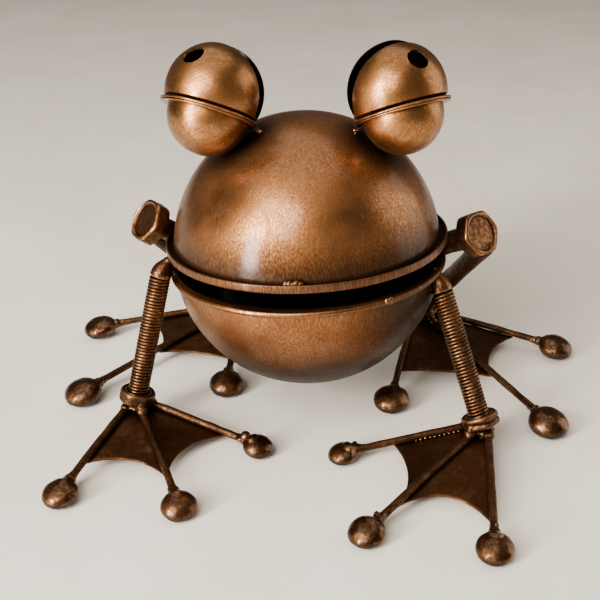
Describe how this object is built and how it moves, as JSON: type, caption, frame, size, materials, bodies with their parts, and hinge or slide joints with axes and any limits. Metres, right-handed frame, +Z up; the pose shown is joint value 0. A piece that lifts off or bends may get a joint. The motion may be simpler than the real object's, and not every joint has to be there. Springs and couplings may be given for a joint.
{
  "type": "metal frog ornament",
  "caption": "Welded metal frog with a two-shell ball head, bell eyes holding loose clappers, coil-spring front legs, bolt knees and webbed rod feet.",
  "frame": {"origin": "on the floor, in the middle of the rectangle round the whole frog", "axes": "+Z up, the frog looks along -Y, +X is the frog's own left"},
  "size_m": [0.2787, 0.2031, 0.1859],
  "materials": {
    "head_shell": "antique copper, dry brushed over dark brown, satin",
    "jaw_shell": "antique copper, dry brushed over dark brown, satin",
    "eye_copper": "antique copper, cross brushed, satin",
    "clapper_steel": "plain steel ball",
    "spring_bronze": "dark bronze with bright crests",
    "bolt_bronze": "dark bronze, worn bright on the edges",
    "rod_bronze": "dark bronze, brushed lighter on top",
    "web_bronze": "dark bronze sheet, satin",
    "pad_bronze": "dark bronze, glossy on the lower edge"
  },
  "bodies": {
    "frog": {"head_shell": "head_shell", "jaw_shell": "jaw_shell", "left_eye_upper": "eye_copper", "left_eye_lower": "eye_copper", "left_eye_tab": "eye_copper", "right_eye_upper": "eye_copper", "right_eye_lower": "eye_copper", "right_eye_tab": "eye_copper", "front_left_spring": "spring_bronze", "front_left_shoulder": "spring_bronze", "front_right_spring": "spring_bronze", "front_right_shoulder": "spring_bronze", "left_knee_bolt": "bolt_bronze", "left_shin": "bolt_bronze", "right_knee_bolt": "bolt_bronze", "right_shin": "bolt_bronze", "rear_left_nut": "bolt_bronze", "rear_left_web": "web_bronze", "rear_left_outer_toe": "rod_bronze", "rear_left_middle_toe": "rod_bronze", "rear_left_inner_toe": "rod_bronze", "rear_left_outer_pad": "pad_bronze", "rear_left_middle_pad": "pad_bronze", "rear_left_inner_pad": "pad_bronze", "rear_right_nut": "bolt_bronze", "rear_right_web": "web_bronze", "rear_right_outer_toe": "rod_bronze", "rear_right_middle_toe": "rod_bronze", "rear_right_inner_toe": "rod_bronze", "rear_right_outer_pad": "pad_bronze", "rear_right_middle_pad": "pad_bronze", "rear_right_inner_pad": "pad_bronze"},
    "front_left_foot": {"front_left_nut": "bolt_bronze", "front_left_web": "web_bronze", "front_left_outer_toe": "rod_bronze", "front_left_middle_toe": "rod_bronze", "front_left_inner_toe": "rod_bronze", "front_left_outer_pad": "pad_bronze", "front_left_middle_pad": "pad_bronze", "front_left_inner_pad": "pad_bronze"},
    "front_right_foot": {"front_right_nut": "bolt_bronze", "front_right_web": "web_bronze", "front_right_outer_toe": "rod_bronze", "front_right_middle_toe": "rod_bronze", "front_right_inner_toe": "rod_bronze", "front_right_outer_pad": "pad_bronze", "front_right_middle_pad": "pad_bronze", "front_right_inner_pad": "pad_bronze"},
    "left_clapper": {"left_eye_clapper": "clapper_steel"},
    "right_clapper": {"right_eye_clapper": "clapper_steel"}
  },
  "joints": [
    {"name": "front_left_flex", "type": "hinge", "parent": "frog", "child": "front_left_foot", "pos_m": [0.0695, -0.00985, 0.046], "axis": [1, 0, 0], "range_deg": [-8, 8], "stiffness_Nm_per_rad": 1.5, "deforming": ["front_left_spring"]},
    {"name": "front_right_flex", "type": "hinge", "parent": "frog", "child": "front_right_foot", "pos_m": [-0.08025, -0.0079, 0.0475], "axis": [1, 0, 0], "range_deg": [-8, 8], "stiffness_Nm_per_rad": 1.5, "deforming": ["front_right_spring"]},
    {"name": "left_clapper_swing", "type": "hinge", "parent": "frog", "child": "left_clapper", "pos_m": [0.03663, 0.01189, 0.15549], "axis": [1, 0, 0], "range_deg": [-40, 40]},
    {"name": "right_clapper_swing", "type": "hinge", "parent": "frog", "child": "right_clapper", "pos_m": [-0.04845, 0.00541, 0.15451], "axis": [1, 0, 0], "range_deg": [-40, 40]}
  ]
}
